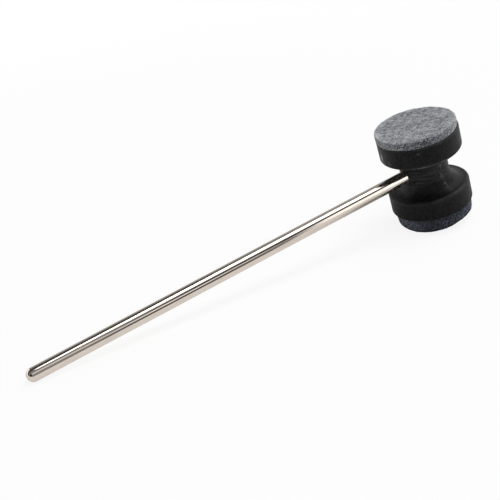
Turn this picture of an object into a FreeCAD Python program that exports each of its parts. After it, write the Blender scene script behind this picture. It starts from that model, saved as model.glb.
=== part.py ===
import FreeCAD, Part
import math
import os

# Two-faced bass drum beater: a plated steel rod that carries a waisted rubber head
# with a felt disc on each end face.
# Millimetres. X runs along the rod towards the head, Z along the head's axis.
# The origin is on the rod's axis, where the straight wall begins behind the rounded tip.

# Rod
shaft_d = 8.0            # plated steel rod
head_reach = 252.8       # from the origin to the head's axis
shoulder_break = 0.3     # broken edge of the rod's shoulder
spigot_d = 6.4           # turned-down end that sits in the bush
spigot_break = 0.5       # broken edge of the spigot's end

# Bush that the rubber is moulded around
bush_d = 12.0
cover_t = 2.5            # rubber between each end of the bush and the waist's skin
ring_depth = 0.8         # grooves that key the bush into the rubber
ring_width = 2.2
ring_spacing = 11.0

# Pin through the bush and the spigot
pin_d = 3.0
pin_length = 17.0
pin_break = 0.4

# Rubber head
flange_d = 48.1
flange_t = 12.2          # height of each outer band
face_round = 0.7         # outer edge of each band
rim_round = 1.4          # inner edge of each band
waist_d = 27.9
waist_gap = 21.6         # clear height between the two bands
waist_round = 8.4        # hollow between the waist and the bands
entry_gap = 0.7          # open ring in the rubber around the rod
seam_width = 0.5         # mould line across the head
seam_proud = 0.15
seam_turn = 5.5          # degrees by which it stands away from square to the rod
mark_d = 1.4             # moulding mark on the upper band
mark_proud = 0.25
mark_drop = 2.9          # from the end face down to the middle of the mark
mark_angle = -126.0

# Felts and the glue under them
glue_t = 0.2
glue_inset = 0.7         # glue stops short of the felt's edge
light_felt_inset = 0.4   # felt's edge behind the band's edge
light_felt_t = 4.55
light_felt_round = 0.65
dark_felt_inset = 1.2    # at the glue
dark_felt_taper = 0.95   # how far the edge draws in towards the playing face
dark_felt_t = 8.55
dark_felt_round = 1.7
felt_cut_round = 0.3     # edge next to the glue

# Fit between round surfaces that hold each other
fit_gap = 0.02

# Derived places
shaft_r = shaft_d / 2.0
spigot_r = spigot_d / 2.0
bush_r = bush_d / 2.0
pin_r = pin_d / 2.0
flange_r = flange_d / 2.0
waist_r = waist_d / 2.0
light_felt_r = flange_r - light_felt_inset
dark_felt_r = flange_r - dark_felt_inset
head_half = waist_gap / 2.0 + flange_t
bush_start = head_reach - waist_r + cover_t
bush_end = head_reach + waist_r - cover_t
light_felt_z = head_half + glue_t
dark_felt_z = -head_half - glue_t

V = FreeCAD.Vector
X_AXIS = V(1, 0, 0)
Y_AXIS = V(0, 1, 0)
Z_AXIS = V(0, 0, 1)
HEAD_CENTRE = V(head_reach, 0, 0)


def rounded_outline(corners, place):
    """Closed wire through (u, v, radius) corners; a radius is limited by the sides it meets."""
    count = len(corners)
    flat = [V(u, v, 0) for u, v, _ in corners]
    trims = []
    for i, (_, _, radius) in enumerate(corners):
        to_last = flat[i - 1] - flat[i]
        to_next = flat[(i + 1) % count] - flat[i]
        half_turn = to_last.getAngle(to_next) / 2.0
        trims.append(radius / math.tan(half_turn))
    scale = [1.0] * count
    for i in range(count):
        j = (i + 1) % count
        side = (flat[j] - flat[i]).Length
        wanted = trims[i] + trims[j]
        if wanted > 0.98 * side:
            scale[i] = min(scale[i], 0.98 * side / wanted)
            scale[j] = min(scale[j], 0.98 * side / wanted)
    starts = []
    middles = []
    ends = []
    for i, (_, _, radius) in enumerate(corners):
        to_last = (flat[i - 1] - flat[i]).normalize()
        to_next = (flat[(i + 1) % count] - flat[i]).normalize()
        half_turn = to_last.getAngle(to_next) / 2.0
        trim = trims[i] * scale[i]
        inward = to_last + to_next
        reach = radius * scale[i] * (1.0 / math.sin(half_turn) - 1.0)
        starts.append(flat[i] + to_last * trim)
        ends.append(flat[i] + to_next * trim)
        middles.append(flat[i] + inward.normalize() * reach if trim else flat[i])
    edges = []
    for i in range(count):
        j = (i + 1) % count
        if trims[i]:
            arc = Part.Arc(place(starts[i]), place(middles[i]), place(ends[i]))
            edges.append(arc.toShape())
        edges.append(Part.LineSegment(place(ends[i]), place(starts[j])).toShape())
    return Part.Wire(edges)


def about_head(corners):
    """Solid of revolution about the head's axis from (radius, height, rounding) corners."""
    wire = rounded_outline(corners, lambda p: V(head_reach + p.x, 0, p.y))
    return Part.Face(wire).revolve(HEAD_CENTRE, Z_AXIS, 360)


def rod_cylinder(radius, start, end):
    return Part.makeCylinder(radius, end - start, V(start, 0, 0), X_AXIS)


def cross_cylinder(radius, length):
    """Cylinder across the rod, centred where the rod meets the head's axis."""
    return Part.makeCylinder(radius, length, V(head_reach, -length / 2.0, 0), Y_AXIS)


def bush_outline(grow):
    """Outside of the bush with its keying grooves, enlarged by grow."""
    middle = (bush_start + bush_end) / 2.0
    body = rod_cylinder(bush_r + grow, bush_start, bush_end)
    for side in (-1, 1):
        centre = middle + side * ring_spacing / 2.0
        half = ring_width / 2.0 - grow
        groove = rod_cylinder(bush_r + 2.0 * fit_gap + ring_depth, centre - half, centre + half)
        groove = groove.cut(rod_cylinder(bush_r - ring_depth + grow, centre - half, centre + half))
        body = body.cut(groove)
    return body


def make_shaft():
    tip = Part.makeSphere(shaft_r, V(0, 0, 0), X_AXIS, -90, 0, 360)
    wall = rod_cylinder(shaft_r, 0, bush_start)
    wall = wall.makeChamfer(shoulder_break, [circle_at(wall, bush_start)])
    spigot = rod_cylinder(spigot_r, bush_start, bush_end)
    spigot = spigot.makeChamfer(spigot_break, [circle_at(spigot, bush_end)])
    rod = tip.fuse([wall, spigot]).removeSplitter()
    return rod.cut(cross_cylinder(pin_r + fit_gap, shaft_d))


def circle_at(solid, x):
    """The round edge of a cylinder about the rod's axis at place x."""
    for edge in solid.Edges:
        if abs(edge.BoundBox.XMin - x) < 1e-6 and abs(edge.BoundBox.XMax - x) < 1e-6:
            return edge
    raise ValueError("no round edge at %s" % x)


def make_bush():
    bush = bush_outline(0.0)
    bush = bush.cut(rod_cylinder(spigot_r + fit_gap, bush_start, bush_end))
    return bush.cut(cross_cylinder(pin_r + fit_gap, bush_d))


def make_pin():
    half = pin_length / 2.0
    corners = [
        (-half, 0, 0),
        (-half, pin_r - pin_break, 0),
        (-half + pin_break, pin_r, 0),
        (half - pin_break, pin_r, 0),
        (half, pin_r - pin_break, 0),
        (half, 0, 0),
    ]
    wire = rounded_outline(corners, lambda p: V(head_reach + p.y, p.x, 0))
    return Part.Face(wire).revolve(HEAD_CENTRE, Y_AXIS, 360)


def spool(grow):
    """Waisted head outline; grow lifts the side walls but not the two end faces."""
    gap = waist_gap / 2.0 - grow
    return about_head([
        (0, -head_half, 0),
        (flange_r + grow, -head_half, face_round),
        (flange_r + grow, -gap, rim_round + grow),
        (waist_r + grow, -gap, waist_round - grow),
        (waist_r + grow, gap, waist_round - grow),
        (flange_r + grow, gap, rim_round + grow),
        (flange_r + grow, head_half, face_round),
        (0, head_half, 0),
    ])


def mould_seam():
    """Thin raised line where the two mould halves met, nearly square to the rod."""
    reach = flange_d
    slab = Part.makeBox(seam_width, 2.0 * reach, 2.0 * head_half)
    slab.translate(V(head_reach - seam_width / 2.0, -reach, -head_half))
    slab.rotate(HEAD_CENTRE, Z_AXIS, seam_turn)
    return spool(seam_proud).common(slab)


def moulding_mark():
    """Small round mark that stands out of the upper band."""
    angle = math.radians(mark_angle)
    outward = V(math.cos(angle), math.sin(angle), 0)
    foot = V(head_reach, 0, head_half - mark_drop) + outward * (flange_r - mark_d)
    return Part.makeCylinder(mark_d / 2.0, mark_d + mark_proud, foot, outward)


def make_head():
    head = spool(0.0).fuse([mould_seam(), moulding_mark()])
    head = head.cut(bush_outline(fit_gap))
    head = head.cut(cross_cylinder(pin_r + fit_gap, pin_length + 2.0 * fit_gap))
    return head.cut(rod_cylinder(shaft_r + entry_gap, head_reach - flange_d, bush_start))


def make_glue(felt_r, low):
    return Part.makeCylinder(felt_r - glue_inset, glue_t, V(head_reach, 0, low))


def make_light_felt():
    top = light_felt_z + light_felt_t
    return about_head([
        (0, light_felt_z, 0),
        (light_felt_r, light_felt_z, felt_cut_round),
        (light_felt_r, top, light_felt_round),
        (0, top, 0),
    ])


def make_dark_felt():
    low = dark_felt_z - dark_felt_t
    return about_head([
        (0, low, 0),
        (dark_felt_r - dark_felt_taper, low, dark_felt_round),
        (dark_felt_r, dark_felt_z, felt_cut_round),
        (0, dark_felt_z, 0),
    ])


pieces = {
    "beater_shaft": make_shaft(),
    "anchor_bush": make_bush(),
    "cross_pin": make_pin(),
    "head_body": make_head(),
    "light_felt_glue": make_glue(light_felt_r, head_half),
    "light_felt_disc": make_light_felt(),
    "dark_felt_glue": make_glue(dark_felt_r, dark_felt_z),
    "dark_felt_disc": make_dark_felt(),
}

os.makedirs("parts", exist_ok=True)
for node, shape in pieces.items():
    solid = shape.Solids[0]
    print(node, shape.isValid(), len(shape.Solids), round(shape.Volume, 2))
    solid.exportStep("parts/%s.step" % node)
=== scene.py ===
import math
from itertools import product

import bpy
import numpy as np
from mathutils import Matrix, Vector


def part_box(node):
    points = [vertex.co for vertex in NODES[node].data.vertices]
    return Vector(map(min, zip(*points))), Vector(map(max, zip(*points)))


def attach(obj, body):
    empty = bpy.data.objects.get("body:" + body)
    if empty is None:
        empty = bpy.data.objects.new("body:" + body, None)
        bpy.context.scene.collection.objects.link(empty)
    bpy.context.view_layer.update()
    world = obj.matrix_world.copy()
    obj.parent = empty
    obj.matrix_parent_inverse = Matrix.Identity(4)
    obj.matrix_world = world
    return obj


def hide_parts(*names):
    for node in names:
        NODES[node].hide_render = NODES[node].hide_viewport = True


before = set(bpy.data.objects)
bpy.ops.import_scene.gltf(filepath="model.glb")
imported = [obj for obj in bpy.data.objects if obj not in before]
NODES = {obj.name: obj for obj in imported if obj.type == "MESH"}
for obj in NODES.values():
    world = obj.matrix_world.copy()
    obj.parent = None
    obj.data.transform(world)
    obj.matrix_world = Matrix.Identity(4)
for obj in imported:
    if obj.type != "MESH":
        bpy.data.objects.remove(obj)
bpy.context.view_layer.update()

MM = 0.001
TINY = 1e-7
LEAST_LENGTH = 1e-9

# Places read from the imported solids, in metres.
HEAD_LOW, HEAD_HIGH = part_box("head_body")
SHAFT_LOW, SHAFT_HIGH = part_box("beater_shaft")
BUSH_LOW, BUSH_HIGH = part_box("anchor_bush")
PIN_LOW, PIN_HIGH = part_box("cross_pin")
LIGHT_LOW, LIGHT_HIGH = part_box("light_felt_disc")
DARK_LOW, DARK_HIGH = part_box("dark_felt_disc")
HEAD_X = (LIGHT_LOW.x + LIGHT_HIGH.x) / 2
HEAD_HALF = HEAD_HIGH.z
FLANGE_R = (HEAD_HIGH.x - HEAD_LOW.x) / 2
SHAFT_R = (SHAFT_HIGH.y - SHAFT_LOW.y) / 2
BUSH_R = (BUSH_HIGH.y - BUSH_LOW.y) / 2
PIN_R = (PIN_HIGH.z - PIN_LOW.z) / 2
LIGHT_R = (LIGHT_HIGH.x - LIGHT_LOW.x) / 2
DARK_R = (DARK_HIGH.x - DARK_LOW.x) / 2

# Rod.
SHAFT_SPOKES = 128
TIP_STEPS = 28
WALL_STEPS = 60
SHOULDER_BREAK = 0.3 * MM
SPIGOT_R = 3.2 * MM
SPIGOT_BREAK = 0.5 * MM
SHAFT_CREASE = 30
PIN_SPOKES = 32
PIN_HOLE_LENGTH = SHAFT_R * 4
FIT_GAP = 0.02 * MM
FILM_START = 210 * MM
FILM_END = BUSH_LOW.x - 4 * MM

# Moulded head.
FACE_ROUND = 0.7 * MM
LOW_FACE_ROUND = 0.35 * MM
RIM_ROUND = 1.4 * MM
WAIST_R = 13.95 * MM
WAIST_HALF = 10.8 * MM
WAIST_ROUND = 8.4 * MM
HEAD_ARC_STEPS = 14
HEAD_ROW = 0.9 * MM
HEAD_SPOKES = 288
LEAST_SPOKE_TURN = 0.0025
HEAD_CREASE = 40
BORE_SPOKES = 96
BAND_SLACK = 0.05 * MM
FACE_SLACK = 1e-6

# Rod's entry into the waist: the open ring, and the swell round it.
ENTRY_GAP = 0.12 * MM
ENTRY_OVERLAP = 1e-5
ENTRY_PAD = 14.6 * MM
ENTRY_PAD_R = 8.2 * MM
ENTRY_PAD_LIMIT = 1.1

# Mould line; widths without a unit are in its half widths.
SEAM_HALF = 0.5 * MM
SEAM_PROUD = 0.1 * MM
SEAM_ON_BANDS = 0.35
SEAM_FADE = 2 * MM
SEAM_TURN = math.radians(5.5)
SEAM_SPREAD = 1.6
SEAM_SPOKES = 13
SEAM_SPOKE_R = WAIST_R * 1.25
SEAM_PALE_WIDTH = 2.6
SEAM_PALE_FADE = 4 * MM
SEAM_PALE_LEAST = 0.25

# Moulding mark; widths without a unit are in its radii.
MARK_ANGLE = math.radians(-126.0)
MARK_R = 0.7 * MM
MARK_PROUD = 0.22 * MM
MARK_HEIGHT = HEAD_HALF - 2.9 * MM
MARK_FOOT = 1.1
MARK_SLOPE = 0.3
MARK_ROWS = 11
MARK_ROW_SPREAD = 1.25
MARK_CLEARING = 1.4
MARK_SPOKES = 13
MARK_SPOKE_SPREAD = 1.3

# Wear of the head round its axis, with painted highlights along the rims: middle and half width in
# degrees, then strength or growth.
UPPER_RIM_WEAR_AND_HIGHLIGHT = ((-129.0, 13.0, 0.9), (-110.0, 9.0, 0.35), (-94.0, 8.0, 0.7))
LOWER_RIM_WEAR_AND_HIGHLIGHT = ((-76.0, 11.0, 0.2),)
UPPER_RIM_DROP = ((-122.0, 45.0, 0.45 * MM), (-60.0, 50.0, 0.35 * MM))
LOWER_RIM_DROP = ((-142.0, 42.0, 0.75 * MM),)
HOLLOW_DUSTY = ((178.0, 28.0, 1.0),)
WEAR_RADIUS = 0.8 * MM
WORN_ALL_ROUND = 0.25
INNER_RIM = 1.5 * RIM_ROUND
WORN_RIM = 2 * RIM_ROUND
DUST_LOW = -10 * MM
DUST_RISE = 7 * MM
DUST_LEAST = 0.25
DUSTY_FROM = 0.7

# Pale rubs on the head; the first is a painted highlight on the upper band's left edge, and the third
# pales the moulding mark as wear and as a painted highlight: degrees round it, then height, half width,
# half height and strength.
RUBS_AND_HIGHLIGHTS = (
    (169.0, 15.6 * MM, 1.05 * MM, 2.5 * MM, 1.0),
    (-174.5, 14.0 * MM, 0.9 * MM, 1.3 * MM, 0.15),
    (-126.0, 20.2 * MM, 1.1 * MM, 0.7 * MM, 0.09),
    (-158.5, -6.0 * MM, 1.0 * MM, 3.0 * MM, 0.06),
    (-150.0, -5.5 * MM, 4.0 * MM, 2.8 * MM, 0.025),
    (-98.0, -0.4 * MM, 0.7 * MM, 0.6 * MM, 0.07),
)

# Felts and the loose fibres on them.
LIGHT_ROUND = 0.65 * MM
DARK_ROUND = 1.7 * MM
DARK_TAPER = 0.95 * MM
FELT_CUT_ROUND = 0.3 * MM
FELT_SPOKES = 320
GLUED_SLACK = 0.05 * MM
WAVES = ((9 * MM, 0.6), (2.3 * MM, 0.7), (0.9 * MM, 0.45))
FIBRE_COUNT = 7000
FIBRE_KNOTS = 5
FIBRE_SIDES = 3
FIBRE_TAPER = (0.45, 0.9, 1.0, 0.85, 0.3)
FIBRE_LENGTH = (1.2 * MM, 3.4 * MM)
FIBRE_THICKNESS = (0.05 * MM, 0.10 * MM)
LEAST_SPREAD_R = 0.2 * MM
FACE_NORMAL = 0.7
OFF_PARALLEL = 0.01

# Lifts of a fibre off the felt, in millimetres: its foot, its middle and a loose end.
FIBRE_SUNK = 0.03
FIBRE_ARCH = (0.02, 0.10)
FIBRE_FREE = (0.15, 0.7)

# Headings of the fibres: the lay's swirls, then each fibre's start, bend and wander in radians.
LAY_WIDTH = 7 * MM
LAY_SWIRL = 1.1
LAY_SEED = 5
FIBRE_SWAY = 0.5
FIBRE_BEND = 0.5
FIBRE_WANDER = 0.25

# Tones of the fibres from dark, 0, to light, 1: tufts alike over some width, and each fibre apart.
TUFT_WIDTH = 1.1 * MM
TUFT_SEED = 7
TUFT_SWING = 0.8
TONE_MIDDLE = 0.5
TONE_SPREAD = 0.25
TONE_POWER = 1.3
# Share by which the painted rim shade darkens a fibre.
RIM_DARKENS = 0.97

# Zones along a felt's edge, for the painted front shade, the painted sheen and the painted rim shade: how
# far in each begins, and over what it reaches full strength.
FRONT_SHADE_ZONE = (2.2 * MM, 1.2 * MM)
PALE_ZONE = (5.5 * MM, 4.0 * MM)
RIM_ZONE = (4.5 * MM, 1.5 * MM)

# Painted shade on the rim's two edges, at the playing face and at the glue: how high it reaches, in rim
# heights, and how strong it is at the glue.
FACE_SHADE_REACH = 2.0
GLUE_SHADE_REACH = 1.5
GLUE_SHADE = 0.55

# Each felt: its edge's lower and upper corner as (radius, height, rounding), its surface, its stretches
# round the head (middle and half width in degrees, then strength or growth): painted front shade, pale
# stretches of painted sheen and uneven thickness; and its tones, dark first.
LIGHT_FELT = {
    "name": "light_felt",
    "node": "light_felt_disc",
    "edge": ((LIGHT_R, LIGHT_LOW.z, FELT_CUT_ROUND), (LIGHT_R, LIGHT_HIGH.z, LIGHT_ROUND)),
    "arc_steps": 6,
    "row": 0.38 * MM,
    "glued_z": LIGHT_LOW.z,
    "playing_z": LIGHT_HIGH.z,
    "seed": 11,
    "shift": (-0.38 * MM, 0.2 * MM, 0.0),
    "ripple": 0.11 * MM,
    "front_shade_stretches": ((-118.0, 25.0, 0.95),),
    "pale": ((-168.0, 26.0, 0.2), (-210.0, 20.0, 0.5), (-45.0, 38.0, 0.37)),
    "uneven": (),
    "rim": 0.0,
    "tones": ((0.016, 0.0185, 0.024), (0.525, 0.55, 0.595), (0.86, 0.88, 0.91)),
    "front_shade_share": 0.6,
    "sheen": 0.25,
    "wool": "light_wool",
    "wool_tones": ((0.05, 0.054, 0.062), (0.7, 0.72, 0.76)),
    "wool_sheen": 0.2,
    "wool_seed": 5,
    "wool_fuzz": 0.08,
    "wool_front_shade": 0.5,
}
DARK_FELT = {
    "name": "dark_felt",
    "node": "dark_felt_disc",
    "edge": ((DARK_R - DARK_TAPER, DARK_LOW.z, DARK_ROUND), (DARK_R, DARK_HIGH.z, FELT_CUT_ROUND)),
    "arc_steps": 8,
    "row": 0.42 * MM,
    "glued_z": DARK_HIGH.z,
    "playing_z": DARK_LOW.z,
    "seed": 47,
    "shift": (0.25 * MM, -0.2 * MM, 0.0),
    "ripple": 0.15 * MM,
    "front_shade_stretches": ((-132.0, 33.0, 1.0),),
    "pale": ((-176.0, 30.0, 0.6), (-54.0, 20.0, 0.25)),
    "uneven": ((-140.0, 50.0, -0.75 * MM), (-74.0, 24.0, 0.65 * MM)),
    "rim": 0.9 * MM,
    "tones": ((0.008, 0.0095, 0.014), (0.135, 0.155, 0.205), (0.26, 0.29, 0.355)),
    "front_shade_share": 0.62,
    "sheen": 0.06,
    "wool": "dark_wool",
    "wool_tones": ((0.008, 0.0095, 0.014), (0.25, 0.28, 0.345)),
    "wool_sheen": 0.06,
    "wool_seed": 9,
    "wool_fuzz": 0.12,
    "wool_front_shade": 0.75,
}

# Camera at the photograph's viewing angle.
CAMERA_PLACE = Vector((-26.29, -452.14, 259.31)) * MM
CAMERA_AIM = Vector((133.95, 2.28, 3.97)) * MM
CAMERA_ROLL = math.radians(18.44)
CAMERA_LENS = 70.99
CAMERA_CLIP = (0.01, 20.0)
SENSOR = 36.0

# Overhead softbox.
LAMP_PLACE = (1.42, -0.33, 2.4)
LAMP_AIM = (1.42, -0.33, 0.0)
LAMP_SIZE = (2.66, 1.24)
LAMP_POWER = 39.0

# Floor: its size, its brightness to the camera, and where the rod mirrors it darker, near the head as a
# painted shadow. A pair of distances may be followed by the shares at its two ends.
FLOOR_REACH = 3.0
FLOOR_GAP = 0.08 * MM
FLOOR_TONE = (0.92, 0.92, 0.92, 1.0)
FLOOR_SEEN = 0.88
FLOOR_FAR = (0.3, 0.9)
MIRRORED_NEAR_HEAD = (0.02, 0.13, 0.05, 0.62)
PAINTED_SHADOW_UNDER_HEAD = (0.031, 0.07, 0.82, 0.0)
GLOOM_GLOW = 0.12
GROUND_EDGE = (-0.125, -0.095)
GROUND_SIDE = (0.133, 0.176)
GROUND_SLANT = 0.36
SLOPE_STEEPEST = -0.3
SLOPE_ROUNDS = 40

# Grey of the studio round the rod's axis, in degrees from the front over the top to the back.
HALF_TURN = 180
ROOM_STOPS = (
    (0, 0.1), (17, 0.1), (21, 0.82), (38, 0.82), (43, 0.28), (58, 0.32),
    (72, 0.24), (108, 0.04), (120, 0.06), (140, 0.36), (176, 0.5),
)

# The studio's bands lean towards the head, by up to this many degrees either way.
ROOM_LEAN = 10
LEAN_ALONG = (0.04, 0.24)
LEAN_BEGINS = (8, 24)
LEAN_ENDS = (70, 90)

# Bands of the studio: whether each leans, then the degrees over which it begins and ends.
ROOM_BANDS = {
    "foreground": (True, None, (12, 18)),
    "strip": (True, (17, 21), (38, 43)),
    "line": (True, (35, 40), (60, 66)),
    "beside": (True, None, (40, 47)),
    "ahead": (False, None, (52, 66)),
    "under_lamp": (False, (56, 61), (70, 74)),
    "behind": (False, (72, 84), None),
    "back_wall": (False, (122, 134), None),
}

# Patches on those bands, in order: the band, where the patch fades in along the rod, and its grey.
ROOM_PATCHES = (
    ("line", (0.08, 0.24), 0.055),
    ("under_lamp", (0.1, 0.2), 1.2),
    ("foreground", (0.26, 0.34), 0.3),
    ("foreground", (0.185, 0.085), 0.32),
    ("ahead", (-0.36, -0.5), 0.05),
    ("strip", (0.14, 0.2), 1.1),
    ("strip", (0.23, 0.28), 0.8),
    ("strip", (0.285, 0.325), 0.36),
    ("beside", (0.335, 0.385), 1.6),
    ("beside", (0.42, 0.445), 2.1),
    ("beside", (0.47, 0.5), 1.35),
    ("behind", (0.2, 0.4), 0.42),
    ("back_wall", (-0.08, -0.25), 1.35),
    ("behind", (0.52, 0.62), 1.25),
)

# Low white wall all round but in front.
WALL_TOP = (0.21, 0.235)
WALL_OPENS = (0.26, 0.32)
WHITE = (1.0, 1.0, 1.0)

# Whole-number mixing for noise that is the same on each run.
CELL_PRIMES = (73856093, 19349663, 83492791)
SEED_PRIME = 2654435761
MIX_ROUNDS = ((15, 2246822519), (13, 3266489917))
LAST_SHIFT = 16
LOW_BITS = 0xFFFFFFFF


# Outlines and meshes

def rounded_outline(corners, arc_steps):
    """Open outline through (u, v, rounding) corners, as points from the first corner to the last."""
    flat = [np.array(c[:2], float) for c in corners]
    points = [flat[0]]
    for i in range(1, len(corners) - 1):
        radius = corners[i][2]
        back = flat[i - 1] - flat[i]
        ahead = flat[i + 1] - flat[i]
        back /= np.linalg.norm(back)
        ahead /= np.linalg.norm(ahead)
        half = math.acos(float(np.clip(back @ ahead, -1, 1))) / 2
        if radius <= 0:
            points.append(flat[i])
            continue
        inward = back + ahead
        inward /= np.linalg.norm(inward)
        centre = flat[i] + inward * radius / math.sin(half)
        start = flat[i] + back * radius / math.tan(half) - centre
        end = flat[i] + ahead * radius / math.tan(half) - centre
        sweep = math.atan2(start[0] * end[1] - start[1] * end[0], start @ end)
        for k in range(arc_steps + 1):
            a = sweep * k / arc_steps
            turn = np.array([[math.cos(a), -math.sin(a)], [math.sin(a), math.cos(a)]])
            points.append(centre + turn @ start)
    points.append(flat[-1])
    return np.array(points)


def divided(points, step, flat_heights=()):
    """The same outline with no stretch longer than step, apart from those at flat_heights."""
    dense = [points[0]]
    for a, b in zip(points, points[1:]):
        flat = any(abs(a[1] - h) + abs(b[1] - h) < TINY for h in flat_heights)
        count = 1 if flat else max(1, math.ceil(np.linalg.norm(b - a) / step))
        for k in range(1, count + 1):
            dense.append(a + (b - a) * k / count)
    return np.array(dense)


def unit(vectors):
    """The vectors at length 1."""
    return vectors / np.maximum(np.linalg.norm(vectors, axis=-1), LEAST_LENGTH)[..., None]


def outline_directions(outline):
    """Unit tangent and outward normal at each point of an outline."""
    tangent = unit(np.gradient(outline, axis=0))
    normal = np.stack([tangent[:, 1], -tangent[:, 0]], axis=1)
    return tangent, normal


def linked(name, data):
    """A new object in the scene."""
    obj = bpy.data.objects.new(name, data)
    bpy.context.scene.collection.objects.link(obj)
    return obj


def new_object(name, verts, faces, smooth=True):
    mesh = bpy.data.meshes.new(name)
    mesh.from_pydata([tuple(v) for v in verts], [], [tuple(f) for f in faces])
    mesh.validate()
    if smooth:
        mesh.polygons.foreach_set("use_smooth", [True] * len(mesh.polygons))
    mesh.update()
    return linked(name, mesh)


def revolved_faces(rings, spokes):
    """Faces of a closed body whose first and last rings are single points."""
    faces = []
    for j in range(spokes):
        faces.append((0, 1 + (j + 1) % spokes, 1 + j))
    for i in range(rings - 3):
        base = 1 + i * spokes
        for j in range(spokes):
            k = (j + 1) % spokes
            faces.append((base + j, base + k, base + spokes + k, base + spokes + j))
    base = 1 + (rings - 3) * spokes
    last = base + spokes
    for j in range(spokes):
        faces.append((base + j, base + (j + 1) % spokes, last))
    return faces


def flip_if_inside_out(obj):
    """Turns the faces outward."""
    mesh = obj.data
    volume = 0.0
    for p in mesh.polygons:
        a, b, c = (mesh.vertices[i].co for i in p.vertices[:3])
        volume += a.dot(b.cross(c))
    if volume < 0:
        mesh.flip_normals()


def sharpen(obj, degrees):
    """Keeps edges sharper than this angle crisp under smooth shading."""
    obj.data.set_sharp_from_angle(angle=math.radians(degrees))


def cut(obj, radius, axis, centre, length, spokes=BORE_SPOKES):
    """Takes a round hole out of obj."""
    bpy.ops.mesh.primitive_cylinder_add(vertices=spokes, radius=radius, depth=length)
    tool = bpy.context.active_object
    turn = Vector((0, 0, 1)).rotation_difference(Vector(axis)).to_matrix().to_4x4()
    tool.matrix_world = Matrix.Translation(Vector(centre)) @ turn
    bpy.context.view_layer.update()
    modifier = obj.modifiers.new("hole", "BOOLEAN")
    modifier.operation = "DIFFERENCE"
    modifier.solver = "EXACT"
    modifier.object = tool
    evaluated = obj.evaluated_get(bpy.context.evaluated_depsgraph_get())
    mesh = bpy.data.meshes.new_from_object(evaluated)
    obj.modifiers.clear()
    obj.data = mesh
    bpy.data.objects.remove(tool)


def add_attribute(obj, name, values):
    attribute = obj.data.attributes.new(name, "FLOAT", "POINT")
    attribute.data.foreach_set("value", np.asarray(values, np.float32))


def dress(obj, material, slot_name, *replaced):
    obj.data.materials.append(material)
    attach(obj, "root")
    if replaced:
        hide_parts(*replaced)
    return obj


def place_about_head(radius, angle, height):
    return np.stack([HEAD_X + radius * np.cos(angle), radius * np.sin(angle), height], axis=-1)


def degrees_from(angle, middle):
    """Signed turn in degrees from a middle in degrees to each angle in radians."""
    return np.degrees(np.angle(np.exp(1j * (angle - math.radians(middle)))))


def around(angle, stretches):
    """Sum of soft bumps (middle in degrees, half width in degrees, height) at each angle."""
    total = np.zeros(len(angle))
    for middle, half_width, height in stretches:
        total += height * np.exp(-(degrees_from(angle, middle) / half_width) ** 2)
    return total


def lattice_value(cell, seed):
    """A fixed value in -1..1 for each cell of a lattice."""
    h = seed * SEED_PRIME
    for axis, prime in enumerate(CELL_PRIMES):
        h = h ^ (cell[:, axis] * prime)
    h = h & LOW_BITS
    for shift, prime in MIX_ROUNDS:
        h = ((h ^ (h >> shift)) * prime) & LOW_BITS
    return (h ^ (h >> LAST_SHIFT)) / LOW_BITS * 2 - 1


def lattice_noise(points, scale, seed):
    """Smooth noise in -1..1, with features about scale metres wide."""
    p = points / scale
    cell = np.floor(p).astype(np.int64)
    f = p - cell
    f = f * f * f * (f * (f * 6 - 15) + 10)
    total = np.zeros(len(points))
    for corner in product((0, 1), repeat=3):
        weight = np.where(corner, f, 1 - f)
        value = lattice_value(cell + np.array(corner), seed)
        total += value * weight[:, 0] * weight[:, 1] * weight[:, 2]
    return total


# Materials

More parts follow.
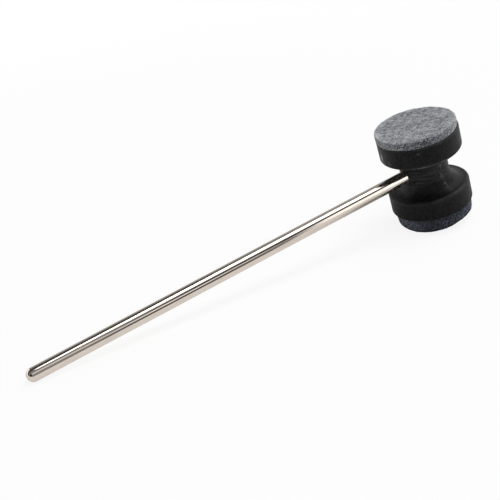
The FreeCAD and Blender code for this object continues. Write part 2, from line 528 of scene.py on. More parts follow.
class Tree:
    """Short names for building one material's or world's nodes."""

    def __init__(self, owner):
        owner.use_nodes = True
        self.tree = owner.node_tree
        self.tree.nodes.clear()

    def put(self, socket, value):
        """Links a socket to another, or sets its value."""
        if isinstance(value, bpy.types.NodeSocket):
            self.tree.links.new(value, socket)
        else:
            socket.default_value = value

    def add(self, kind, **sockets):
        node = self.tree.nodes.new(kind)
        for name, value in sockets.items():
            self.put(node.inputs[name.replace("_", " ")], value)
        return node

    def object_place(self, scale=(1, 1, 1), shift=0.0):
        place = self.add("ShaderNodeTexCoord").outputs["Object"]
        mapping = self.add("ShaderNodeMapping", Vector=place, Scale=scale, Location=(shift, shift, shift))
        return mapping.outputs["Vector"]

    def noise(self, vector, size, detail=3.0, rough=0.55, distort=0.0):
        """Noise with features about size metres wide."""
        node = self.add("ShaderNodeTexNoise", Vector=vector, Scale=1.0 / size, Detail=detail,
                        Roughness=rough, Distortion=distort)
        return node.outputs["Fac"]

    def span(self, value, low, high, to_low, to_high, smooth=False):
        """The value carried from low..high to to_low..to_high, and no further."""
        node = self.add("ShaderNodeMapRange", Value=value, From_Min=low, From_Max=high,
                        To_Min=to_low, To_Max=to_high)
        if smooth:
            node.interpolation_type = "SMOOTHSTEP"
        node.clamp = True
        return node.outputs["Result"]

    def operate(self, kind, operation, a, b):
        node = self.add(kind)
        node.operation = operation
        self.put(node.inputs[0], a)
        self.put(node.inputs[1], b)
        return node

    def math(self, operation, a, b):
        return self.operate("ShaderNodeMath", operation, a, b).outputs[0]

    def product(self, a, b):
        return self.math("MULTIPLY", a, b)

    def distance(self, place, point):
        return self.operate("ShaderNodeVectorMath", "DISTANCE", place, point).outputs["Value"]

    def mix(self, factor, a, b):
        """Colour a where the factor is 0, and b where it is 1."""
        node = self.add("ShaderNodeMix")
        node.data_type = "RGBA"
        self.put(node.inputs[0], factor)
        for socket, color in ((node.inputs[6], a), (node.inputs[7], b)):
            self.put(socket, color if isinstance(color, bpy.types.NodeSocket) else (*color, 1.0))
        return node.outputs[2]

    def ramp(self, value, stops):
        """Grey levels at degrees round the rod's axis."""
        node = self.add("ShaderNodeValToRGB", Fac=value)
        elements = node.color_ramp.elements
        while len(elements) < len(stops):
            elements.new(0.5)
        for element, (degrees, level) in zip(elements, stops):
            element.position = degrees / HALF_TURN
            element.color = (level, level, level, 1.0)
        return node.outputs["Color"]

    def bump(self, height, strength, distance, below=None):
        node = self.add("ShaderNodeBump", Height=height, Strength=strength, Distance=distance)
        if below is not None:
            self.put(node.inputs["Normal"], below)
        return node.outputs["Normal"]

    def attribute(self, name):
        node = self.add("ShaderNodeAttribute")
        node.attribute_name = name
        return node.outputs["Fac"]

    def layered(self, tone, layers):
        """The tone under layers of (share, colour), each laid over the last."""
        for share, color in layers:
            tone = self.mix(share, tone, color)
        return tone

    def surface(self, shader, kind="ShaderNodeOutputMaterial"):
        self.add(kind, Surface=shader.outputs[0])

    def principled(self, **sockets):
        self.surface(self.add("ShaderNodeBsdfPrincipled", **sockets))


def new_material(name):
    material = bpy.data.materials.new(name)
    return material, Tree(material)


def scaled(color, share):
    return tuple(c * share for c in color)


def nickel_material():
    """Bright nickel plate: faint drawing lines, soft clouding, fine rubs and a film near the head."""
    material, t = new_material("nickel_plate")
    place = t.object_place()
    lines = t.noise(t.object_place((0.02, 1, 1)), 0.22 * MM, detail=2.0, rough=0.6)
    cloud = t.noise(place, 9 * MM, rough=0.6)
    rubs = t.noise(t.object_place((1, 0.12, 0.12)), 0.5 * MM, detail=2.0, rough=0.7)
    tone = t.mix(t.span(cloud, 0.35, 0.7, 0.0, 1.0), (0.66, 0.585, 0.52), (0.71, 0.635, 0.565))
    rough = t.math("ADD", t.span(cloud, 0.3, 0.7, 0.035, 0.07), t.span(rubs, 0.62, 0.8, 0.0, 0.06))
    along_rod = t.add("ShaderNodeSeparateXYZ", Vector=place).outputs["X"]
    near_head = t.span(along_rod, FILM_START, FILM_END, 0.0, 1.0, True)
    streaky = t.noise(t.object_place((0.3, 1, 1)), 1.2 * MM, detail=2.5, rough=0.7)
    film = t.product(near_head, t.span(streaky, 0.42, 0.62, 0.0, 0.16))
    t.principled(Base_Color=tone, Metallic=t.math("SUBTRACT", 1.0, film), Roughness=rough,
                 Normal=t.bump(lines, 0.03, 0.01 * MM))
    return material


def steel_material():
    """Turned steel of the hidden bush and pin."""
    material, t = new_material("turned_steel")
    turning = t.noise(t.object_place((1, 0.05, 0.05)), 0.25 * MM, detail=2.0, rough=0.6)
    cloud = t.noise(t.object_place(), 3 * MM)
    tone = t.mix(cloud, (0.44, 0.44, 0.45), (0.58, 0.58, 0.59))
    t.principled(Base_Color=tone, Metallic=1.0, Roughness=t.span(turning, 0.3, 0.7, 0.28, 0.42),
                 Normal=t.bump(turning, 0.2, 0.03 * MM))
    return material


def rubber_tone(t, place, flow, worn_and_lit):
    """Black rubber: mottled, streaked in the hollow, and paler where it is worn, dusty or rubbed and
    where highlights are painted on the rims, the upper band's left edge and the moulding mark.
    """
    mottle = t.span(t.noise(place, 1.5 * MM, detail=2.5, rough=0.65), 0.38, 0.62, 0.0, 1.0)
    rings = t.noise(t.object_place((0.15, 0.15, 1.1)), 1.5 * MM, detail=2.5, rough=0.65)
    streaks = t.product(t.span(rings, 0.41, 0.6, 0.0, 1.7), flow)
    fine_dust = t.noise(place, 0.7 * MM, detail=2.0, rough=0.7)
    blotchy = t.noise(place, 1.7 * MM, detail=2.0, rough=0.6, distort=0.5)
    scratches = t.noise(t.object_place((1.5, 1.5, 0.35)), 0.8 * MM, detail=2.0, rough=0.7)
    layers = (
        (t.product(t.attribute("hollow"), streaks), (0.026, 0.0265, 0.0285)),
        # Paler rims: wear all round, and painted highlights in the listed stretches.
        (worn_and_lit, (0.14, 0.14, 0.141)),
        (t.span(fine_dust, 0.66, 0.74, 0.0, 0.35), (0.014, 0.014, 0.0145)),
        (t.product(t.attribute("dust"), t.span(blotchy, 0.56, 0.64, 0.0, 0.5)), (0.07, 0.07, 0.071)),
        (t.product(t.attribute("seam"), t.span(blotchy, 0.42, 0.58, 0.0, 1.0)), (0.075, 0.075, 0.076)),
        # Pale rubs, among them painted highlights on the upper band's left edge and the moulding mark.
        (t.product(t.attribute("rub_and_highlight"), t.span(scratches, 0.4, 0.6, 0.4, 1.4)), (0.36, 0.36, 0.36)),
    )
    return t.layered(t.mix(mottle, (0.0012, 0.0012, 0.0013), (0.0092, 0.0091, 0.0087)), layers)


def rubber_material():
    """Satin black moulded rubber: fine grain, faint flow marks, paler along the rubbed edges, which also
    carry painted highlights.
    """
    material, t = new_material("black_rubber")
    place = t.object_place()
    flow = t.noise(t.object_place((1, 1, 2.5)), 5 * MM, rough=0.6, distort=0.6)
    patchy = t.noise(place, 3.2 * MM, rough=0.7, distort=1.0)
    # Rim mask: wear, and painted highlights along the rims.
    worn_and_lit = t.product(t.attribute("edge"), t.span(patchy, 0.36, 0.62, 0.15, 1.0))
    rough = t.math("ADD", t.span(flow, 0.3, 0.7, 0.42, 0.54), t.product(worn_and_lit, 0.06))
    grain = t.noise(place, 0.28 * MM, rough=0.6)
    turning = t.noise(t.object_place((0.12, 0.12, 1)), 0.9 * MM, detail=2.0, rough=0.6)
    normal = t.bump(turning, 0.5, 0.12 * MM)
    normal = t.bump(flow, 0.25, 0.15 * MM, normal)
    normal = t.bump(grain, 0.3, 0.06 * MM, normal)
    t.principled(Base_Color=rubber_tone(t, place, flow, worn_and_lit), Roughness=rough,
                 Specular_IOR_Level=0.15, Normal=normal)
    return material


def felt_material(look):
    """Pressed wool: clouds, strokes of lay, grain and specks, with a peppered cut edge that also carries
    painted shade, painted shade on the edge's front stretch, painted sheen near the edge at the sides,
    and painted shade along the rims.
    """
    material, t = new_material(look["name"])
    dark, light, speck = look["tones"]
    front_shade_share = look["front_shade_share"]
    place = t.object_place()
    strokes = t.noise(t.object_place((0.2, 1.0, 1)), 0.95 * MM, detail=2.0, rough=0.6, distort=0.4)
    hairs = t.noise(t.object_place((0.3, 1.5, 1.2), 0.03), 0.9 * MM, detail=2.0, rough=0.6, distort=0.7)
    grain = t.noise(place, 0.95 * MM, detail=2.5, rough=0.7, distort=0.2)
    fibres = t.noise(place, 0.4 * MM, detail=2.0, rough=0.65)
    clouds = t.noise(place, 6.0 * MM, rough=0.6, distort=0.8)
    flecks = t.noise(t.object_place(shift=0.07), 0.8 * MM, detail=1.5, rough=0.6, distort=0.4)
    pits = t.noise(t.object_place(shift=0.19), 0.8 * MM, detail=1.5, rough=0.6, distort=0.6)
    blend = 0.0
    for layer, share in ((strokes, 0.31), (hairs, 0.24), (grain, 0.13), (fibres, 0.07), (clouds, 0.25)):
        blend = t.math("ADD", t.product(t.span(layer, 0.39, 0.61, 0.0, 1.0), share), blend)
    painted_front_shade = t.span(pits, 0.36, 0.66, front_shade_share, front_shade_share * 0.5)
    layers = (
        (t.span(flecks, 0.57, 0.67, 0.0, 0.8), speck),
        # Dark pepper on the cut sides, partly the felt's own and partly painted shade of the sides.
        (t.product(t.attribute("edge"), t.span(pits, 0.45, 0.57, 0.95, 0.0)), scaled(dark, 0.7)),
        # Painted shade on the front stretch of the edge.
        (t.product(t.attribute("painted_front_shade"), painted_front_shade), scaled(dark, 1.5)),
        # Paler specks near the edge at the sides: painted sheen.
        (t.product(t.attribute("pale"), t.span(grain, 0.42, 0.6, 0.1, 1.0)), speck),
        # Painted shade along the playing face's rim and the glued edge.
        (t.attribute("rim"), scaled(dark, 0.3)),
    )
    tone = t.layered(t.mix(blend, dark, light), layers)
    height = t.math("ADD", t.product(grain, 0.5), t.product(strokes, 0.5))
    normal = t.bump(fibres, 0.4, 0.12 * MM, t.bump(height, 0.6, 0.3 * MM))
    t.principled(Base_Color=tone, Roughness=0.92, Specular_IOR_Level=0.15,
                 Sheen_Weight=look["sheen"], Sheen_Roughness=0.55, Normal=normal)
    return material


def fibre_material(look):
    """Loose wool fibres, each with a tone of its own."""
    material, t = new_material(look["wool"])
    dark, light = look["wool_tones"]
    along = t.noise(t.object_place(), 0.8 * MM, detail=2.0)
    tone = t.mix(t.attribute("tone"), dark, light)
    tone = t.mix(t.span(along, 0.3, 0.7, 0.0, 0.25), tone, dark)
    t.principled(Base_Color=tone, Roughness=0.75, Specular_IOR_Level=0.2,
                 Sheen_Weight=look["wool_sheen"], Sheen_Roughness=0.5)
    return material


def glue_material():
    """Dried contact glue between felt and head."""
    material, t = new_material("dried_glue")
    lumps = t.noise(t.object_place(), 0.6 * MM)
    tone = t.mix(lumps, (0.02, 0.016, 0.012), (0.05, 0.042, 0.032))
    t.principled(Base_Color=tone, Roughness=t.span(lumps, 0.3, 0.7, 0.3, 0.55),
                 Normal=t.bump(lumps, 0.4, 0.1 * MM))
    return material


# Rod

def make_shaft(material):
    """Plated rod with a rounded free end, a shoulder at the head and a spigot inside it."""
    end = SHAFT_HIGH.x
    shoulder = BUSH_LOW.x
    outline = []
    for k in range(TIP_STEPS + 1):
        a = math.pi / 2 * k / TIP_STEPS
        outline.append((-SHAFT_R * math.cos(a), SHAFT_R * math.sin(a)))
    for k in range(1, WALL_STEPS + 1):
        outline.append(((shoulder - SHOULDER_BREAK) * k / WALL_STEPS, SHAFT_R))
    outline += [
        (shoulder, SHAFT_R - SHOULDER_BREAK),
        (shoulder, SPIGOT_R),
        (end - SPIGOT_BREAK, SPIGOT_R),
        (end, SPIGOT_R - SPIGOT_BREAK),
        (end, 0.0),
    ]
    angle = np.arange(SHAFT_SPOKES) * 2 * math.pi / SHAFT_SPOKES
    verts = [(outline[0][0], 0, 0)]
    for x, r in outline[1:-1]:
        for a in angle:
            verts.append((x, r * math.cos(a), r * math.sin(a)))
    verts.append((outline[-1][0], 0, 0))
    shaft = new_object("shaft_rod", verts, revolved_faces(len(outline), SHAFT_SPOKES))
    flip_if_inside_out(shaft)
    sharpen(shaft, SHAFT_CREASE)
    cut(shaft, PIN_R + FIT_GAP, (0, 1, 0), (HEAD_X, 0, 0), PIN_HOLE_LENGTH, PIN_SPOKES)
    return dress(shaft, material, "nickel_plate", "beater_shaft")


# Head

def head_outline():
    """Section of the spool from the lower face to the upper, with closer rows across the mark."""
    outline = rounded_outline([
        (0, -HEAD_HALF, 0),
        (FLANGE_R, -HEAD_HALF, LOW_FACE_ROUND),
        (FLANGE_R, -WAIST_HALF, RIM_ROUND),
        (WAIST_R, -WAIST_HALF, WAIST_ROUND),
        (WAIST_R, WAIST_HALF, WAIST_ROUND),
        (FLANGE_R, WAIST_HALF, RIM_ROUND),
        (FLANGE_R, HEAD_HALF, FACE_ROUND),
        (0, HEAD_HALF, 0),
    ], HEAD_ARC_STEPS)
    outline = divided(outline, HEAD_ROW, (-HEAD_HALF, HEAD_HALF))
    heights = MARK_HEIGHT + np.linspace(-MARK_ROW_SPREAD, MARK_ROW_SPREAD, MARK_ROWS) * MARK_R
    rows = np.stack([np.full(MARK_ROWS, FLANGE_R), heights], axis=1)
    near_mark = np.abs(outline[:, 1] - MARK_HEIGHT) < MARK_CLEARING * MARK_R
    first = int(np.argmax(near_mark))
    return np.concatenate([outline[:first], rows, outline[first + int(near_mark.sum()):]])


def head_angles():
    """Spoke angles round the head: even, with extra ones across the mould line and the mark."""
    angles = list(np.linspace(-math.pi, math.pi, HEAD_SPOKES, endpoint=False))
    for middle in (SEAM_TURN - math.pi / 2, SEAM_TURN + math.pi / 2):
        for step in np.linspace(-SEAM_SPREAD, SEAM_SPREAD, SEAM_SPOKES):
            angles.append(middle + step * SEAM_HALF / SEAM_SPOKE_R)
    for step in np.linspace(-MARK_SPOKE_SPREAD, MARK_SPOKE_SPREAD, MARK_SPOKES):
        angles.append(MARK_ANGLE + step * MARK_R / FLANGE_R)
    angles = sorted((a + math.pi) % (2 * math.pi) - math.pi for a in angles)
    kept = [angles[0]]
    for a in angles[1:]:
        if a - kept[-1] > LEAST_SPOKE_TURN:
            kept.append(a)
    return np.array(kept)


def edge_sharpness(outline, tangent):
    """1 on tight outward roundings of an outline, 0 on its flat and hollow stretches."""
    bend = np.gradient(tangent, axis=0)
    step = np.linalg.norm(np.gradient(outline, axis=0), axis=1)
    convex = tangent[:, 0] * bend[:, 1] - tangent[:, 1] * bend[:, 0] > 0
    return np.clip(np.linalg.norm(bend, axis=1) / step * WEAR_RADIUS, 0, 1) * convex


def off_mould_line(r, angles):
    """How far each angle lies from the mould line, in its half widths."""
    return np.abs(np.cos(angles - SEAM_TURN)) * r / SEAM_HALF


def with_entry_pad(points):
    """Swells the waist a little where the rod enters it."""
    away = np.hypot(points[:, 1], points[:, 2]) / ENTRY_PAD_R
    fall = ENTRY_PAD - math.sqrt(WAIST_R ** 2 - ENTRY_PAD_R ** 2)
    pad = HEAD_X - ENTRY_PAD + fall * away ** 4
    raised = np.array(points)
    raised[:, 0] = np.minimum(points[:, 0], np.where(away < ENTRY_PAD_LIMIT, pad, points[:, 0]))
    raised[:, 0] = np.where(points[:, 0] < HEAD_X, raised[:, 0], points[:, 0])
    return raised


def head_ring(r, z, normal, angles):
    """Points round the head at one place of its section."""
    on_waist = np.clip((WAIST_HALF - abs(z)) / SEAM_FADE, SEAM_ON_BANDS, 1)
    on_side = abs(z) < HEAD_HALF - FACE_SLACK
    lift = SEAM_PROUD * on_waist * np.exp(-off_mould_line(r, angles) ** 2) * on_side
    out = r + normal[0] * lift
    up = np.full(len(angles), z) + normal[1] * lift
    if z > WAIST_HALF and r > FLANGE_R - BAND_SLACK:
        away = np.hypot((angles - MARK_ANGLE) * r, z - MARK_HEIGHT) / MARK_R
        out = out + MARK_PROUD * np.clip((MARK_FOOT - away) / MARK_SLOPE, 0, 1)
    from_face = np.clip((HEAD_HALF - abs(z)) / (HEAD_HALF - WAIST_HALF - RIM_ROUND), 0, 1)
    from_middle = np.clip(abs(z) / WAIST_HALF, 0, 1)
    drops = UPPER_RIM_DROP if z > 0 else LOWER_RIM_DROP
    up = up - from_face * from_middle * around(angles, drops)
    return with_entry_pad(place_about_head(out, angles, up))


# Pale rubs and painted highlights at each angle of one place of the section.
def rubs_and_highlights(r, z, angles):
    total = np.zeros(len(angles))
    for middle, height, half_width, half_height, strength in RUBS_AND_HIGHLIGHTS:
        across = np.radians(degrees_from(angles, middle)) * r / half_width
        total += strength * np.exp(-across ** 2 - ((z - height) / half_height) ** 2)
    return total


def wear_and_highlights(r, z, sharpness, angles):
    """How strong each kind of wear, dust and painted highlight is round the head at one place of its
    section.
    """
    worn_and_lit = UPPER_RIM_WEAR_AND_HIGHLIGHT if z > 0 else LOWER_RIM_WEAR_AND_HIGHLIGHT
    inner_rim = abs(z) < WAIST_HALF + INNER_RIM
    all_round = WORN_ALL_ROUND if z > -WAIST_HALF - WORN_RIM else 0.0
    along_seam = np.clip((WAIST_HALF - abs(z)) / SEAM_PALE_FADE + SEAM_PALE_LEAST, 0, 1)
    streaked = np.clip((z - DUST_LOW) / DUST_RISE, DUST_LEAST, 1)
    streaked = streaked * max(0.0, (FLANGE_R - r) / (FLANGE_R - WAIST_R))
    low_hollow = r < FLANGE_R - RIM_ROUND and z < -DUSTY_FROM * WAIST_HALF
    return {
        "edge": sharpness * (all_round + inner_rim * around(angles, worn_and_lit)),
        "seam": np.exp(-(off_mould_line(r, angles) / SEAM_PALE_WIDTH) ** 2) * along_seam,
        "hollow": np.full(len(angles), streaked),
        "rub_and_highlight": rubs_and_highlights(r, z, angles),
        "dust": low_hollow * around(angles, HOLLOW_DUSTY),
    }


def make_head(material):
    """Moulded spool with its mould line, its moulding mark and the open ring round the rod."""
    outline = head_outline()
    tangent, normal = outline_directions(outline)
    sharpness = edge_sharpness(outline, tangent)
    angles = head_angles()
    verts = [(HEAD_X, 0, outline[0][1])]
    head_marks = {kind: [0.0] for kind in ("edge", "seam", "hollow", "rub_and_highlight", "dust")}
    for i in range(1, len(outline) - 1):
        r, z = outline[i]
        verts.extend(head_ring(r, z, normal[i], angles))
        for kind, values in wear_and_highlights(r, z, sharpness[i], angles).items():
            head_marks[kind].extend(values)
    verts.append((HEAD_X, 0, outline[-1][1]))
    head = new_object("head_rubber", verts, revolved_faces(len(outline), len(angles)))
    flip_if_inside_out(head)
    for kind, values in head_marks.items():
        add_attribute(head, kind, values + [0.0])
    bush_middle = (BUSH_LOW.x + BUSH_HIGH.x) / 2
    cut(head, BUSH_R + FIT_GAP, (1, 0, 0), (bush_middle, 0, 0), BUSH_HIGH.x - BUSH_LOW.x)
    pin_length = PIN_HIGH.y - PIN_LOW.y + 2 * FIT_GAP
    cut(head, PIN_R + FIT_GAP, (0, 1, 0), (HEAD_X, 0, 0), pin_length, PIN_SPOKES)
    entry = FLANGE_R
    entry_middle = BUSH_LOW.x - entry / 2 + ENTRY_OVERLAP
    cut(head, SHAFT_R + ENTRY_GAP, (1, 0, 0), (entry_middle, 0, 0), entry)
    sharpen(head, HEAD_CREASE)
    return dress(head, material, "black_rubber", "head_body")


# Felts

class FeltForm:
    """Round felt body: its outline, its wavy surface and points on it."""

    def __init__(self, look):
        self.look = look
        self.glued_z = look["glued_z"]
        self.playing_z = look["playing_z"]
        self.shift = np.array(look["shift"])
        low, high = look["edge"]
        outline = rounded_outline([(0, low[1], 0), low, high, (0, high[1], 0)], look["arc_steps"])
        self.outline = divided(outline, look["row"], (self.glued_z,))

    def stretch(self, points, kind):
        """How strong the look's stretches of one kind are at each point."""
        return around(np.arctan2(points[:, 1], points[:, 0] - HEAD_X), self.look[kind])

    def depth(self, points):
        """0 at the glue, 1 at the playing face."""
        return np.clip((points[:, 2] - self.glued_z) / (self.playing_z - self.glued_z), 0, 1)

    def settled(self, points):
        """The points where they lie on a felt whose thickness isn't quite even."""
        grown = points.copy()
        grown[:, 2] += self.stretch(points, "uneven") * self.depth(points)
        return grown

    def near_edge(self, points, zone):
        """0 where a zone along the outer edge begins, 1 where it has its full strength."""
        begin, rise = zone
        radius = np.hypot(points[:, 0] - HEAD_X, points[:, 1])
        return np.clip((radius - self.outline[:, 0].max() + begin) / rise, 0, 1)

    def painted_front_shade(self, points):
        """How strong the painted shade on the edge's front stretch is at each point, 0 to 1."""
        return np.clip(self.stretch(points, "front_shade_stretches"), 0, 1) * self.near_edge(points, FRONT_SHADE_ZONE)

    def paleness(self, points):
        """How strong the painted sheen near the edge is at each point, 0 to 1."""
        return np.clip(self.stretch(points, "pale"), 0, 1) * self.near_edge(points, PALE_ZONE)

    def painted_rim_shade(self, points):
        """How strong the painted shade along the edges of the playing face and of the glue is at each
        point, 0 to 1.
        """
        rim = self.look["rim"]
        if not rim:
            return np.zeros(len(points))
        from_face = np.abs(points[:, 2] - self.playing_z)
        from_glue = np.abs(points[:, 2] - self.glued_z)
        at_face = np.clip((FACE_SHADE_REACH * rim - from_face) / rim, 0, 1)
        at_glue = GLUE_SHADE * np.clip((GLUE_SHADE_REACH * rim - from_glue) / rim, 0, 1)
        return self.near_edge(points, RIM_ZONE) * np.maximum(at_face, at_glue)

    def wave(self, points):
        """How far the matted surface stands in or out at each point."""
        total = np.zeros(len(points))
        for i, (width, share) in enumerate(WAVES):
            total += lattice_noise(points, width, self.look["seed"] + i) * share
        return total * self.look["ripple"]

    def nearest(self, points):
        """Closest place on the plain outline, and the outward normal there."""
        local = points - self.shift - np.array([HEAD_X, 0, 0])
        radius = np.hypot(local[:, 0], local[:, 1])
        flat = np.stack([radius, local[:, 2]], axis=1)
        a = self.outline[:-1]
        ab = np.diff(self.outline, axis=0)
        t = ((flat[:, None, :] - a[None]) * ab[None]).sum(2) / (ab * ab).sum(1)[None]
        t = np.clip(t, 0, 1)
        q = a[None] + t[..., None] * ab[None]
        best = np.linalg.norm(flat[:, None, :] - q, axis=2).argmin(1)
        spot = q[np.arange(len(points)), best]
        direction = unit(ab[best])
        normal = np.stack([direction[:, 1], -direction[:, 0]], axis=1)
        outward = local[:, :2] / np.maximum(radius, LEAST_LENGTH)[:, None]
        place = np.concatenate([outward * spot[:, :1], spot[:, 1:]], axis=1)
        out = np.concatenate([outward * normal[:, :1], normal[:, 1:]], axis=1)
        return place + self.shift + np.array([HEAD_X, 0, 0]), out


def make_felt(form, material):
    """Matted felt disc with an uneven surface; the face that is glued stays flat."""
    look = form.look
    outline = form.outline
    angles = np.arange(FELT_SPOKES) * 2 * math.pi / FELT_SPOKES
    normal = outline_directions(outline)[1]
    verts = []
    shares = {"edge": [], "painted_front_shade": [], "pale": [], "rim": []}
    for i, (r, z) in enumerate(outline):
        single = i in (0, len(outline) - 1)
        turn = angles[:1] if single else angles
        count = len(turn)
        base = place_about_head(np.full(count, r), turn, np.full(count, z)) + form.shift
        sideways, upward = normal[i]
        out = np.stack([sideways * np.cos(turn), sideways * np.sin(turn), np.full(count, upward)], axis=1)
        flat_side = abs(z - form.glued_z) < GLUED_SLACK
        lift = np.zeros(count) if flat_side else form.wave(base)
        verts.extend(form.settled(base + out * lift[:, None]))
        shares["edge"].extend([abs(sideways) ** 2] * count)
        shares["painted_front_shade"].extend(form.painted_front_shade(base))
        shares["pale"].extend(form.paleness(base))
        shares["rim"].extend(form.painted_rim_shade(base))
    felt = new_object(look["name"], verts, revolved_faces(len(outline), FELT_SPOKES))
    flip_if_inside_out(felt)
    for kind, values in shares.items():
        add_attribute(felt, kind, values)
    dress(felt, material, look["name"], look["node"])
    return felt


def scattered(form, rng):
    """Points spread evenly over the free side of a felt."""
    start = form.outline[np.abs(form.outline[:, 1] - form.glued_z) > TINY]
    lengths = np.linalg.norm(np.diff(start, axis=0), axis=1)
    middle_r = (start[1:, 0] + start[:-1, 0]) / 2
    weight = lengths * np.maximum(middle_r, LEAST_SPREAD_R)
    pick = rng.choice(len(weight), size=FIBRE_COUNT, p=weight / weight.sum())
    along = rng.random(FIBRE_COUNT)[:, None]
    spot = start[pick] * (1 - along) + start[pick + 1] * along
    angle = rng.random(FIBRE_COUNT) * 2 * math.pi
    return place_about_head(spot[:, 0], angle, spot[:, 1]) + form.shift


def first_heading(place, out, seed, rng):
    """Direction in which each fibre sets off, roughly with the lay of the wool."""
    upright = np.abs(out[:, 2]) > FACE_NORMAL
    lay = np.where(upright, math.pi / 2, 0.0)
    swirl = lay + lattice_noise(place, LAY_WIDTH, seed + LAY_SEED) * LAY_SWIRL
    swirl = swirl + rng.normal(0, FIBRE_SWAY, FIBRE_COUNT)
    help_axis = np.where(upright[:, None], [[1.0, 0, 0]], [[0, 0, 1.0]])
    east = unit(np.cross(help_axis, out))
    north = np.cross(out, east)
    return east * np.cos(swirl)[:, None] + north * np.sin(swirl)[:, None]


def fibre_paths(form, rng):
    """Knots of each fibre along the felt's surface, and the outward direction past its end."""
    place, out = form.nearest(scattered(form, rng))
    heading = first_heading(place, out, form.look["wool_seed"], rng)
    bend = rng.normal(0, FIBRE_BEND, FIBRE_COUNT)
    size = rng.uniform(*FIBRE_LENGTH, FIBRE_COUNT)
    lifted = rng.random(FIBRE_COUNT) < form.look["wool_fuzz"]
    stretches = FIBRE_KNOTS - 1
    path = np.zeros((FIBRE_COUNT, FIBRE_KNOTS, 3))
    for k in range(FIBRE_KNOTS):
        share = k / stretches
        arch = math.sin(math.pi * share) * rng.uniform(*FIBRE_ARCH, FIBRE_COUNT)
        free = np.where(lifted, share ** 2 * rng.uniform(*FIBRE_FREE, FIBRE_COUNT), 0.0)
        lift = (arch + free - FIBRE_SUNK) * MM
        path[:, k] = place + out * (form.wave(place) + lift)[:, None]
        step = (size / stretches)[:, None]
        place, out = form.nearest(place + heading * step)
        heading = unit(heading - out * (heading * out).sum(1)[:, None])
        sideways = np.cross(out, heading)
        turn = (bend + rng.normal(0, FIBRE_WANDER, FIBRE_COUNT))[:, None] / stretches
        heading = heading * np.cos(turn) + sideways * np.sin(turn)
    return path, out


def fibre_tubes(path, out, rng):
    """Points of a thin tapered tube round each path."""
    tangent = unit(np.gradient(path, axis=1))
    first = unit(np.cross(tangent, out[:, None, :] + OFF_PARALLEL))
    second = np.cross(tangent, first)
    half = rng.uniform(*FIBRE_THICKNESS, FIBRE_COUNT)[:, None] / 2
    taper = np.array(FIBRE_TAPER)[None]
    points = np.zeros((FIBRE_COUNT, FIBRE_KNOTS, FIBRE_SIDES, 3))
    for c in range(FIBRE_SIDES):
        a = 2 * math.pi * c / FIBRE_SIDES
        ring = first * math.cos(a) + second * math.sin(a)
        points[:, :, c] = path + ring * (half * taper)[..., None]
    return points.reshape(-1, 3)


def fibre_faces():
    """Sides of all the tubes, then their end caps."""
    sides = []
    for k in range(FIBRE_KNOTS - 1):
        low = k * FIBRE_SIDES
        high = low + FIBRE_SIDES
        for c in range(FIBRE_SIDES):
            d = (c + 1) % FIBRE_SIDES
            sides.append((low + c, low + d, high + d, high + c))
    last = FIBRE_KNOTS * FIBRE_SIDES - 1
    caps = [(2, 1, 0), (last - 2, last - 1, last)]
    faces = []
    first_point = np.arange(FIBRE_COUNT)[:, None, None] * FIBRE_KNOTS * FIBRE_SIDES
    for one in (sides, caps):
        pattern = np.array(one)
        faces += (first_point + pattern[None]).reshape(-1, pattern.shape[1]).tolist()
    return faces


def make_fibres(form, material):
    """Thin wool fibres that lie matted over the felt, some with a lifted end."""
    look = form.look
    seed = look["wool_seed"]
    rng = np.random.default_rng(seed)
    path, out = fibre_paths(form, rng)
    verts = form.settled(fibre_tubes(path, out, rng))
    fibres = new_object(look["name"] + "_fibres", verts.tolist(), fibre_faces())
    middle = path[:, FIBRE_KNOTS // 2]
    tone = TONE_MIDDLE + TUFT_SWING * lattice_noise(middle, TUFT_WIDTH, seed + TUFT_SEED)
    tone = np.clip(tone + rng.normal(0, TONE_SPREAD, FIBRE_COUNT), 0, 1) ** TONE_POWER
    # Painted shade darkens the fibres on the edge's front stretch and along the rims.
    tone *= (1 - look["wool_front_shade"] * form.painted_front_shade(middle)) * (1 - RIM_DARKENS * form.painted_rim_shade(middle))
    add_attribute(fibres, "tone", np.repeat(tone, FIBRE_KNOTS * FIBRE_SIDES))
    return dress(fibres, material, look["name"])


def make_felt_and_fibres(look):
    """One felt disc with its loose fibres; gives back the disc."""
    form = FeltForm(look)
    felt = make_felt(form, felt_material(look))
    make_fibres(form, fibre_material(look))
    return felt


# Studio

def resting_slope(felt):
    """Tilt along X of a floor that touches both the rod's round tip and the felt's lowest edge."""
    points = np.array([v.co for v in felt.data.vertices])
    steep = SLOPE_STEEPEST
    level = 0.0
    for _ in range(SLOPE_ROUNDS):
        slope = (steep + level) / 2
        above = points[:, 2] - slope * points[:, 0] + SHAFT_R * math.sqrt(1 + slope * slope)
        if above.min() < 0:
            level = slope
        else:
            steep = slope
    return slope


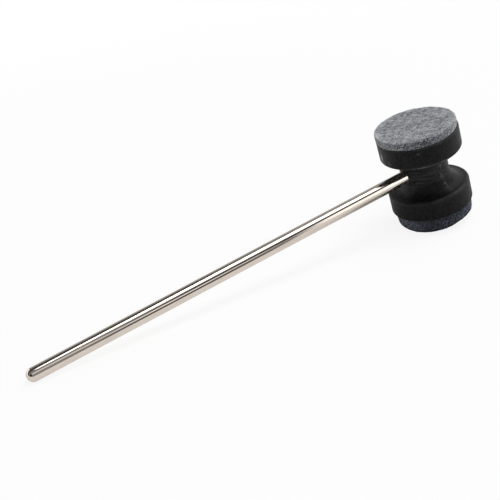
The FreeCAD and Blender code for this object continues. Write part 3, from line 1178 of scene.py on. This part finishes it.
def floor_material(middle, foot):
    """Pale floor, white further off; the rod mirrors it darker near the head, where a painted shadow
    lies, and in front.
    """
    material, t = new_material("pale_floor")
    position = t.add("ShaderNodeNewGeometry").outputs["Position"]
    path = t.add("ShaderNodeLightPath")
    mirrored = t.math("MAXIMUM", path.outputs["Is Glossy Ray"], path.outputs["Is Transmission Ray"])
    seen = t.math("MAXIMUM", path.outputs["Is Camera Ray"], mirrored)
    from_foot = t.distance(position, foot)
    near = t.span(mirrored, 0.0, 1.0, FLOOR_SEEN, t.span(from_foot, *MIRRORED_NEAR_HEAD, True))
    share = t.span(t.distance(position, middle), *FLOOR_FAR, near, 1.0, True)
    spot = t.add("ShaderNodeSeparateXYZ", Vector=position)
    sideways = t.math("ADD", spot.outputs["X"], t.product(spot.outputs["Y"], GROUND_SLANT))
    gloom = t.product(t.span(spot.outputs["Y"], *GROUND_EDGE, 1.0, 0.0, True),
                      t.span(sideways, *GROUND_SIDE, 1.0, 0.0, True))
    # Painted shadow near the head's foot, seen only in reflections.
    gloom = t.math("MAXIMUM", gloom, t.span(from_foot, *PAINTED_SHADOW_UNDER_HEAD, True))
    gloom = t.product(mirrored, gloom)
    share = t.math("MAXIMUM", share, gloom)
    plain = t.add("ShaderNodeBsdfDiffuse", Color=FLOOR_TONE)
    bright = t.add("ShaderNodeEmission", Color=(*WHITE, 1.0),
                   Strength=t.span(gloom, 0.0, 1.0, 1.0, GLOOM_GLOW))
    mixed = t.add("ShaderNodeMixShader")
    for socket, value in zip(mixed.inputs, (t.product(share, seen), plain.outputs[0], bright.outputs[0])):
        t.put(socket, value)
    t.surface(mixed)
    return material


def make_floor(felt):
    """Pale floor that the rod's tip and the dark felt's near edge rest on."""
    slope = resting_slope(felt)
    drop = -SHAFT_R * math.sqrt(1 + slope * slope) - FLOOR_GAP
    middle = HEAD_X / 2
    verts = []
    for dx, dy in ((-1, -1), (1, -1), (1, 1), (-1, 1)):
        x = middle + dx * FLOOR_REACH
        verts.append((x, dy * FLOOR_REACH, slope * x + drop))
    floor = new_object("floor", verts, [(0, 1, 2, 3)], smooth=False)
    foot = (HEAD_X, 0, slope * HEAD_X + drop)
    floor.data.materials.append(floor_material((middle, 0, 0), foot))


def begins(t, turn, degrees):
    return t.span(turn, *np.divide(degrees, HALF_TURN), 0.0, 1.0, True)


def ends(t, turn, degrees):
    return t.span(turn, *np.divide(degrees, HALF_TURN), 1.0, 0.0, True)


def room_band(t, turn, begin, end):
    """1 inside a band of degrees round the rod, 0 outside it."""
    if begin is None:
        return ends(t, turn, end)
    if end is None:
        return begins(t, turn, begin)
    return t.product(begins(t, turn, begin), ends(t, turn, end))


def make_world():
    """Studio of grey bands round the rod, with patches along it and a low white wall."""
    world = bpy.data.worlds.new("studio")
    bpy.context.scene.world = world
    t = Tree(world)
    direction = t.add("ShaderNodeTexCoord").outputs["Generated"]
    parts = t.add("ShaderNodeSeparateXYZ", Vector=direction)
    x, y, z = (parts.outputs[axis] for axis in "XYZ")
    front = t.product(y, -1.0)
    upright = t.math("DIVIDE", t.math("ARCTAN2", z, front), math.pi)
    lean = t.span(x, *LEAN_ALONG, -ROOM_LEAN / HALF_TURN, ROOM_LEAN / HALF_TURN, True)
    lean = t.product(lean, begins(t, upright, LEAN_BEGINS))
    lean = t.product(lean, ends(t, upright, LEAN_ENDS))
    leaning = t.math("ADD", upright, lean)
    bands = {}
    for name, (leans, begin, end) in ROOM_BANDS.items():
        bands[name] = room_band(t, leaning if leans else upright, begin, end)
    room = t.ramp(leaning, ROOM_STOPS)
    for band, along, grey in ROOM_PATCHES:
        reached = t.product(bands[band], t.span(x, *along, 0.0, 1.0, True))
        room = t.mix(reached, room, (grey, grey, grey))
    wall = t.product(t.span(z, *WALL_TOP, 1.0, 0.0, True), t.span(front, *WALL_OPENS, 1.0, 0.0, True))
    room = t.mix(wall, room, WHITE)
    background = t.add("ShaderNodeBackground", Color=room, Strength=1.0)
    t.surface(background, "ShaderNodeOutputWorld")


def make_lamp():
    data = bpy.data.lights.new("overhead_softbox", "AREA")
    data.shape = "ELLIPSE"
    data.size, data.size_y = LAMP_SIZE
    data.energy = LAMP_POWER
    lamp = linked("overhead_softbox", data)
    lamp.location = LAMP_PLACE
    lamp.rotation_euler = (Vector(LAMP_AIM) - Vector(LAMP_PLACE)).to_track_quat("-Z", "Y").to_euler()


def make_camera():
    data = bpy.data.cameras.new("photo_camera")
    data.sensor_width = SENSOR
    data.lens = CAMERA_LENS
    data.clip_start, data.clip_end = CAMERA_CLIP
    camera = linked("photo_camera", data)
    level = (CAMERA_AIM - CAMERA_PLACE).to_track_quat("-Z", "Y").to_matrix()
    roll = Matrix.Rotation(-CAMERA_ROLL, 3, "Z")
    camera.matrix_world = Matrix.Translation(CAMERA_PLACE) @ (level @ roll).to_4x4()
    bpy.context.scene.camera = camera


def main():
    bpy.context.scene.view_settings.view_transform = "Standard"
    make_shaft(nickel_material())
    make_head(rubber_material())
    make_felt_and_fibres(LIGHT_FELT)
    resting_felt = make_felt_and_fibres(DARK_FELT)
    glue = glue_material()
    steel = steel_material()
    for node, material in (("light_felt_glue", glue), ("dark_felt_glue", glue),
                           ("anchor_bush", steel), ("cross_pin", steel)):
        slots = NODES[node].data.materials
        slots.clear()
        slots.append(material)
    make_floor(resting_felt)
    make_world()
    make_lamp()
    make_camera()


main()
